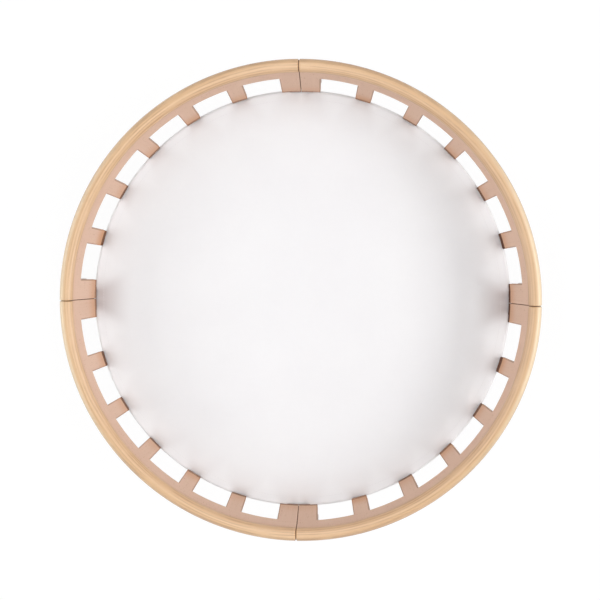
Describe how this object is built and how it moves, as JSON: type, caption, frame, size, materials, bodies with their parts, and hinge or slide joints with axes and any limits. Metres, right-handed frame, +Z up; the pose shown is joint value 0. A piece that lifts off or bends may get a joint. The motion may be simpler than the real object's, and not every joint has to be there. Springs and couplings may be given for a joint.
{
  "type": "roundnet set",
  "caption": "Round wooden stand in quarter segments, with a comb of sloping fingers that carries a taut white net above folding legs.",
  "frame": {"origin": "on the ground under the centre of the rim", "axes": "+Z up; +X towards seam 1, +Y towards seam 2"},
  "size_m": [0.917, 0.917, 0.203],
  "materials": {
    "rail_ash": "honey ash, satin lacquer",
    "comb_beech": "moulded beech ply, satin lacquer",
    "dowel_wood": "plain beech",
    "hoop_rod": "glass-fibre rod",
    "net_cloth": "white close-woven polyester, taut",
    "clip_steel": "spring steel strip, satin",
    "screw_steel": "zinc-plated steel",
    "bracket_coat": "cast aluminium, white powder coat",
    "ferrule_metal": "turned aluminium, satin",
    "pin_steel": "plain steel",
    "leg_ash": "honey ash, satin lacquer",
    "foot_rubber": "moulded black rubber"
  },
  "bodies": {
    "rim": {"rail_1": "rail_ash", "rail_2": "rail_ash", "rail_3": "rail_ash", "rail_4": "rail_ash", "comb_1": "comb_beech", "comb_2": "comb_beech", "comb_3": "comb_beech", "comb_4": "comb_beech", "seam_dowels": "dowel_wood", "net_hoop": "hoop_rod", "net": "net_cloth", "net_clips": "clip_steel", "clip_screws": "screw_steel", "bracket_1": "bracket_coat", "bracket_2": "bracket_coat", "bracket_3": "bracket_coat", "bracket_4": "bracket_coat", "rail_screws": "screw_steel", "comb_screws": "screw_steel"},
    "leg_1_arm": {"ferrule_1": "ferrule_metal", "hinge_pin_1": "pin_steel", "leg_1": "leg_ash", "leg_rivet_1": "pin_steel", "foot_1": "foot_rubber"},
    "leg_2_arm": {"ferrule_2": "ferrule_metal", "hinge_pin_2": "pin_steel", "leg_2": "leg_ash", "leg_rivet_2": "pin_steel", "foot_2": "foot_rubber"},
    "leg_3_arm": {"ferrule_3": "ferrule_metal", "hinge_pin_3": "pin_steel", "leg_3": "leg_ash", "leg_rivet_3": "pin_steel", "foot_3": "foot_rubber"},
    "leg_4_arm": {"ferrule_4": "ferrule_metal", "hinge_pin_4": "pin_steel", "leg_4": "leg_ash", "leg_rivet_4": "pin_steel", "foot_4": "foot_rubber"}
  },
  "joints": [
    {"name": "leg_1_fold", "type": "hinge", "parent": "rim", "child": "leg_1_arm", "pos_m": [0.4455, 0, 0.1425], "axis": [0.9871, 0.1599, 0], "range_deg": [0, 90]},
    {"name": "leg_2_fold", "type": "hinge", "parent": "rim", "child": "leg_2_arm", "pos_m": [0, 0.4455, 0.1425], "axis": [-0.1599, -0.9871, 0], "range_deg": [0, 90]},
    {"name": "leg_3_fold", "type": "hinge", "parent": "rim", "child": "leg_3_arm", "pos_m": [-0.4455, 0, 0.1425], "axis": [-0.9871, -0.1599, 0], "range_deg": [0, 90]},
    {"name": "leg_4_fold", "type": "hinge", "parent": "rim", "child": "leg_4_arm", "pos_m": [0, -0.4455, 0.1425], "axis": [0.1599, 0.9871, 0], "range_deg": [0, 90]}
  ]
}
